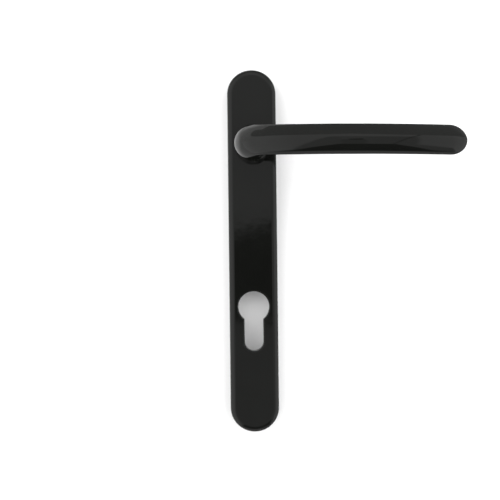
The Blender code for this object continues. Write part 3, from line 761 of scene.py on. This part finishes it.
def gloss_coat():
    """Stoved black coat: almost a mirror, with faint orange peel and fine dust nibs."""
    mat, shader, nodes = surface("black_gloss_coat")
    shader.inputs["IOR"].default_value = 1.5
    tone = nodes.noise(60.0, 3.0)
    colour = nodes.blend(tone, (0.0028, 0.0030, 0.0026), (0.0043, 0.0046, 0.0040))
    roughness = nodes.remap(nodes.noise(180.0, 4.0, 0.6), 0.3, 0.7, 0.03, 0.055)
    peel = nodes.noise(260.0, 2.0, 0.45)
    ripple = nodes.noise(900.0, 1.0, 0.5)
    normal = nodes.bump(peel, 7.0e-6)
    normal = nodes.bump(ripple, 0.5e-6, normal)
    connect(nodes, shader, colour, roughness, normal)
    return mat


def inside_coat():
    """Thin dusty overspray on the as-cast inner faces, with cast grain showing through."""
    mat, shader, nodes = surface("black_overspray")
    cover = nodes.remap(nodes.noise(140.0, 5.0, 0.65), 0.52, 0.72, 0.0, 1.0, True)
    colour = nodes.blend(cover, (0.018, 0.018, 0.018), (0.055, 0.055, 0.056))
    roughness = nodes.remap(nodes.noise(500.0, 3.0), 0.3, 0.7, 0.36, 0.6)
    normal = nodes.bump(nodes.noise(1400.0, 4.0, 0.6), 4.0e-5)
    connect(nodes, shader, colour, roughness, normal)
    return mat


def plated_steel():
    """Bright zinc plate: blue-grey with a faint straw tint, fine rolling lines and handling."""
    mat, shader, nodes = surface("zinc_plated_steel", 1.0)
    tint = nodes.remap(nodes.noise(70.0, 3.0), 0.35, 0.68, 0.0, 1.0)
    colour = nodes.blend(tint, (0.58, 0.61, 0.64), (0.68, 0.66, 0.58))
    lines = nodes.noise(900.0, 2.0, 0.5, (1.0, 1.0, 0.04))
    roughness = nodes.remap(nodes.noise(240.0, 4.0, 0.6), 0.3, 0.7, 0.22, 0.42)
    normal = nodes.bump(lines, 6.0e-6)
    connect(nodes, shader, colour, roughness, normal)
    return mat


def spring_steel():
    mat, shader, nodes = surface("spring_steel", 1.0)
    colour = nodes.blend(nodes.noise(300.0, 4.0), (0.25, 0.24, 0.22), (0.44, 0.43, 0.42))
    roughness = nodes.remap(nodes.noise(700.0, 3.0), 0.3, 0.7, 0.25, 0.45)
    connect(nodes, shader, colour, roughness, nodes.bump(nodes.noise(2200.0, 2.0), 5.0e-6))
    return mat


def phosphate():
    mat, shader, nodes = surface("phosphated_steel", 0.85)
    colour = nodes.blend(nodes.noise(600.0, 5.0, 0.7), (0.045, 0.045, 0.045), (0.13, 0.13, 0.13))
    roughness = nodes.remap(nodes.noise(900.0, 3.0), 0.3, 0.7, 0.4, 0.62)
    connect(nodes, shader, colour, roughness, nodes.bump(nodes.noise(3000.0, 3.0), 8.0e-6))
    return mat


def nylon(name, dark, light):
    """Moulded nylon: slight mottling, a fine eroded texture and soft sheen."""
    mat, shader, nodes = surface(name)
    colour = nodes.blend(nodes.noise(160.0, 4.0), dark, light)
    roughness = nodes.remap(nodes.noise(800.0, 3.0), 0.3, 0.7, 0.36, 0.52)
    connect(nodes, shader, colour, roughness, nodes.bump(nodes.noise(2600.0, 3.0), 8.0e-6))
    return mat


def dress(obj, mat):
    obj.data.materials.clear()
    obj.data.materials.append(mat)


def coat_inside(plate, mat):
    """Gives the faces inside the casting's hollow the rougher coat."""
    plate.data.materials.append(mat)
    straight = HALF_LENGTH - HALF_WIDTH
    for face in plate.data.polygons:
        centre = face.center
        beyond = max(abs(centre.z) - straight, 0.0)
        inset = HALF_WIDTH - math.hypot(centre.x, beyond)
        shallow = -centre.y < CAVITY_DEPTH + 0.05 * MM
        if shallow and inset > WALL - 0.05 * MM and not in_aperture(centre):
            face.material_index = 1


def in_aperture(point):
    """True on the cut-out's own wall, which is coated like the front."""
    margin = 0.15 * MM
    if math.hypot(point.x, point.z - CYLINDER_Z) < HEAD_R + margin:
        return True
    below = CYLINDER_Z - APERTURE_DROP - margin < point.z < CYLINDER_Z
    return below and abs(point.x) < SLOT_HALF + margin


def soften(obj, width):
    """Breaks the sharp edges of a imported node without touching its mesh."""
    weld = obj.modifiers.new("weld", 'WELD')
    weld.merge_threshold = 1.0e-6
    bevel = obj.modifiers.new("broken edge", 'BEVEL')
    bevel.width = width
    bevel.segments = 2
    bevel.limit_method = 'ANGLE'
    bevel.angle_limit = math.radians(40.0)
    weighted = obj.modifiers.new("flat faces", 'WEIGHTED_NORMAL')
    weighted.weight = 100
    obj.data.shade_smooth()


# ---------------------------------------------------------------- studio

def mirrored_room(nodes, elevation, azimuth):
    """Strength of the surroundings that the gloss mirrors, by elevation and azimuth."""
    below_bench = nodes.math('MAXIMUM', nodes.difference(BENCH_EDGE, elevation), 0.0)
    side = nodes.math('MAXIMUM', nodes.product(azimuth, -1.0), nodes.difference(azimuth, FRONT_SPAN))
    glow = nodes.ramp(side, *SIDE_COMES, FRONT_LEVEL, SIDE_LEVEL)
    low_side = nodes.product(nodes.ramp(elevation, *LOW_SIDE_COMES, 0.0, LOW_SIDE_GAIN),
                             nodes.above(nodes.size(azimuth), LOW_SIDE_AZIMUTH, LOW_SIDE_SOFT))
    glow = nodes.math('ADD', glow, low_side)

    ceiling = nodes.remap(elevation, *CEILING_ELEVATIONS, *CEILING_LEVELS)
    turn = nodes.product(nodes.math('MINIMUM', nodes.size(azimuth), CEILING_TURN),
                         nodes.ramp(azimuth, *CEILING_COMES, 0.0, 1.0))
    edge = nodes.line(turn, CEILING_SLOPE, CEILING_EDGE)
    glow = nodes.over(glow, nodes.above(elevation, edge, CEILING_SOFT), ceiling)

    wall_left = nodes.line(elevation, WALL_LEFT_SLOPE, WALL_LEFT)
    wall_right = nodes.line(below_bench, WALL_RIGHT_SLOPE, WALL_RIGHT)
    wall = nodes.product(nodes.above(azimuth, wall_left, WALL_LEFT_SOFT),
                         nodes.inverse(nodes.above(azimuth, wall_right, WALL_RIGHT_SOFT)))
    wall = nodes.product(wall, nodes.between(elevation, *WALL_ELEVATIONS))
    glow = nodes.over(glow, wall, WALL_LEVEL)
    for azimuths, elevations, level in (
            (SCREEN_AZIMUTHS, SCREEN_ELEVATIONS, SCREEN_LEVEL),
            (STAND_AZIMUTHS, STAND_ELEVATIONS, STAND_LEVEL)):
        panel = nodes.product(nodes.between(azimuth, *azimuths),
                              nodes.between(elevation, *elevations))
        glow = nodes.over(glow, panel, level)

    spread = nodes.size(nodes.difference(azimuth, BENCH_AZIMUTH))
    spread = nodes.math('MAXIMUM', nodes.difference(spread, BENCH_HALF), 0.0)
    edge = nodes.math('MAXIMUM', nodes.line(spread, BENCH_SLOPE, BENCH_EDGE),
                      nodes.line(spread, BENCH_STEP_SLOPE, BENCH_EDGE - BENCH_STEP))
    bench = nodes.inverse(nodes.above(elevation, edge, BENCH_SOFT))
    glow = nodes.over(glow, bench, BENCH_LEVEL)
    floor = nodes.inverse(nodes.above(elevation, FLOOR_EDGE, FLOOR_SOFT))
    glow = nodes.over(glow, floor, FLOOR_LEVEL)

    post = nodes.between(nodes.difference(azimuth, nodes.product(elevation, POST_LEAN)),
                         *POST_AZIMUTHS)
    post = nodes.product(post, nodes.between(elevation, *POST_ELEVATIONS))
    glow = nodes.over(glow, post, POST_LEVEL)
    lean = nodes.difference(elevation, nodes.product(azimuth, BOX_LEAN))
    box = nodes.product(nodes.above(elevation, BOX_BOTTOM, BOX_BOTTOM_SOFT),
                        nodes.inverse(nodes.above(lean, BOX_TOP, BOX_TOP_SOFT)))
    box = nodes.product(box, nodes.between(azimuth, *BOX_AZIMUTHS))
    return nodes.over(glow, box, BOX_LEVEL)


def room_light(nodes, right, toward, up):
    """Strength of the soft light that falls from each direction."""
    ahead = nodes.math('POWER', nodes.size(toward), 4.0)
    upright = nodes.product(up, nodes.line(up, UPRIGHT_LOSS, UPRIGHT_TILT))
    room = nodes.math('ADD', nodes.line(ahead, AXIS_LOSS, SIDE_LIGHT), upright)
    return nodes.product(nodes.math('MAXIMUM', room, LEAST_LIGHT),
                         nodes.line(right, RIGHT_TILT, 1.0))


def sky():
    """White to the camera, a furnished room to mirror rays, and soft light to everything else."""
    world = bpy.data.worlds.new("studio")
    bpy.context.scene.world = world
    world.use_nodes = True
    tree = world.node_tree
    tree.nodes.clear()
    nodes = Nodes(tree)
    direction = tree.nodes.new("ShaderNodeTexCoord").outputs["Generated"]
    right, deep, up = nodes.add("ShaderNodeSeparateXYZ", Vector=direction).outputs
    degrees = 180.0 / math.pi
    elevation = nodes.product(nodes.math('ARCSINE', up), degrees)
    toward = nodes.product(deep, -1.0)
    azimuth = nodes.product(nodes.math('ARCTAN2', right, toward), degrees)
    path = tree.nodes.new("ShaderNodeLightPath")
    strength = nodes.over(room_light(nodes, right, toward, up), path.outputs["Is Glossy Ray"],
                          mirrored_room(nodes, elevation, azimuth))
    strength = nodes.over(strength, path.outputs["Is Camera Ray"], 1.0)
    background = nodes.add("ShaderNodeBackground", Color=(1.0, 1.0, 1.0, 1.0), Strength=strength)
    output = tree.nodes.new("ShaderNodeOutputWorld")
    tree.links.new(background.outputs[0], output.inputs["Surface"])


def painted_table_shading(nodes, across, up):
    """Level of the table in mirror rays: painted shade and painted light in its colour, for the shade
    of things near the handle.
    """
    # painted light: a lighter patch of table left of the spindle, near its height
    left = nodes.product(nodes.ramp(across, *LEFT_COMES, 0.0, 1.0),
                         nodes.ramp(across, *LEFT_GOES, 1.0, 0.0))
    off_axis = nodes.size(nodes.difference(up, SPINDLE_Z))
    left = nodes.product(left, nodes.ramp(off_axis, *LEFT_REACH, 1.0, 0.0))
    # painted shade on a band of table right of the spindle, where the grip reaches
    grip = nodes.product(nodes.ramp(across, *GRIP_COMES, 0.0, GRIP_SHADE),
                         nodes.ramp(across, *GRIP_GOES, 1.0, 0.0))
    # painted shade: the table darkened to its mirrored level, with the lighter patch laid over it and
    # the grip's shade taken off
    level = nodes.difference(nodes.over(TABLE_SHADE_LEVEL, left, LEFT_PAINTED_LIGHT), grip)
    # painted shade on the table beyond the lever's tip
    level = nodes.difference(level, nodes.ramp(across, *TIP_COMES, 0.0, TIP_SHADE))
    # past the plate's top end: painted light just left of the middle, painted shade to its right,
    # back to the plain level further right
    tint = nodes.difference(nodes.ramp(across, *END_COMES, 0.0, END_PAINTED_LIGHT),
                            nodes.ramp(across, *END_SHADE_COMES, 0.0, END_SHADE))
    tint = nodes.math('ADD', tint, nodes.ramp(across, *END_RETURN_COMES, 0.0, END_RETURN))
    past_end = nodes.ramp(up, *PAST_END, 0.0, 1.0)
    return nodes.math('ADD', level, nodes.product(past_end, tint))


def clear_of_table(nodes, path, across, up):
    """1 for rays that pass through the table, so that the plate's back is lit.

    These are rays from behind, shadow rays, and bounces that start close to the table, but not
    those that start inside the cylinder cut-out.
    """
    close = nodes.math('LESS_THAN', path.outputs["Ray Length"], TABLE_CLEAR)
    close = nodes.product(close, nodes.inverse(path.outputs["Is Camera Ray"]))
    beside = nodes.math('GREATER_THAN', nodes.size(across), HEAD_R)
    middle = CYLINDER_Z + (HEAD_R - APERTURE_DROP) / 2
    from_middle = nodes.size(nodes.difference(up, middle))
    past_ends = nodes.math('GREATER_THAN', from_middle, (HEAD_R + APERTURE_DROP) / 2)
    close = nodes.product(close, nodes.math('MAXIMUM', beside, past_ends))
    behind = nodes.tree.nodes.new("ShaderNodeNewGeometry").outputs["Backfacing"]
    return nodes.math('MAXIMUM', behind, nodes.math('MAXIMUM', close, path.outputs["Is Shadow Ray"]))


def table():
    """Matt white surface behind the plate, seen from the front only."""
    half = TABLE_HALF
    verts = [(-half, TABLE_GAP, -half), (half, TABLE_GAP, -half), (half, TABLE_GAP, half),
             (-half, TABLE_GAP, half)]
    mesh = bpy.data.meshes.new("white_table")
    mesh.from_pydata(verts, [], [(0, 1, 2, 3)])
    obj = bpy.data.objects.new("white_table", mesh)
    bpy.context.scene.collection.objects.link(obj)
    mat, shader, nodes = surface("white_paper")
    shader.inputs["Roughness"].default_value = 0.9
    shader.inputs["Specular IOR Level"].default_value = 0.1
    place = nodes.tree.nodes.new("ShaderNodeTexCoord").outputs["Object"]
    across, _, up = nodes.add("ShaderNodeSeparateXYZ", Vector=place).outputs
    path = nodes.tree.nodes.new("ShaderNodeLightPath")
    paper = nodes.blend(nodes.noise(900.0, 2.0), (0.86, 0.86, 0.86), (0.89, 0.89, 0.89))
    # mirror rays see the table with its painted shade and painted light; all other rays see plain
    # paper
    colour = nodes.blend(path.outputs["Is Glossy Ray"], paper, painted_table_shading(nodes, across, up))
    nodes.tree.links.new(colour, shader.inputs["Base Color"])
    clear = nodes.tree.nodes.new("ShaderNodeBsdfTransparent")
    mix = nodes.tree.nodes.new("ShaderNodeMixShader")
    for socket, source in zip(mix.inputs, (clear_of_table(nodes, path, across, up),
                                           shader.outputs[0], clear.outputs[0])):
        nodes.tree.links.new(source, socket)
    nodes.tree.links.new(mix.outputs[0], nodes.tree.nodes["Material Output"].inputs["Surface"])
    dress(obj, mat)


def soft_light(name, place, size, power, aim):
    """Large soft panel that lights the table but isn't mirrored in the gloss."""
    data = bpy.data.lights.new(name, 'AREA')
    data.shape = 'SQUARE'
    data.size = size
    data.energy = power
    obj = bpy.data.objects.new(name, data)
    obj.location = place
    obj.rotation_euler = (Vector(aim) - Vector(place)).to_track_quat('-Z', 'Y').to_euler()
    obj.visible_glossy = False
    bpy.context.scene.collection.objects.link(obj)


def camera():
    data = bpy.data.cameras.new("camera")
    data.lens = CAMERA_LENS
    data.sensor_width = 36.0
    data.clip_start = 0.01
    obj = bpy.data.objects.new("camera", data)
    obj.location = (CAMERA_SIDE, -(PLATE_DEPTH + CAMERA_RANGE), CAMERA_HEIGHT)
    obj.rotation_euler = (math.radians(90.0), CAMERA_ROLL, 0.0)
    bpy.context.scene.collection.objects.link(obj)
    bpy.context.scene.camera = obj


def studio():
    bpy.context.scene.view_settings.view_transform = 'Standard'
    sky()
    table()
    soft_light("key", KEY_PLACE, KEY_SIZE, KEY_POWER, (0.0, 0.0, 0.0))
    camera()


# ---------------------------------------------------------------- pieces

def main():
    gloss = gloss_coat()
    steel = plated_steel()
    spring = spring_steel()

    plate = build_backplate()
    dress(plate, gloss)
    coat_inside(plate, inside_coat())
    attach(plate, "plate")
    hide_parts("backplate")

    lever = build_lever()
    dress(lever, gloss)
    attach(lever, "lever")
    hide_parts("lever")

    wire = build_spring()
    dress(wire, spring)
    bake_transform(wire)
    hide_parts("return_spring")

    finishes = {
        "neck_bush": nylon("black_nylon", (0.014, 0.014, 0.014), (0.026, 0.026, 0.026)),
        "rear_bush": nylon("natural_nylon", (0.66, 0.63, 0.54), (0.78, 0.75, 0.66)),
        "retaining_circlip": phosphate(),
        "wave_washer": spring,
    }
    for node in ("cassette_cover", "drive_cam", "thrust_washer", "fixing_post_upper",
                 "fixing_post_lower", "cover_screw_1", "cover_screw_2", "cover_screw_3",
                 "cover_screw_4"):
        finishes[node] = steel
    for node, mat in finishes.items():
        obj = frame["nodes"][node]
        dress(obj, mat)
        soften(obj, 0.06 * MM)

    studio()


main()
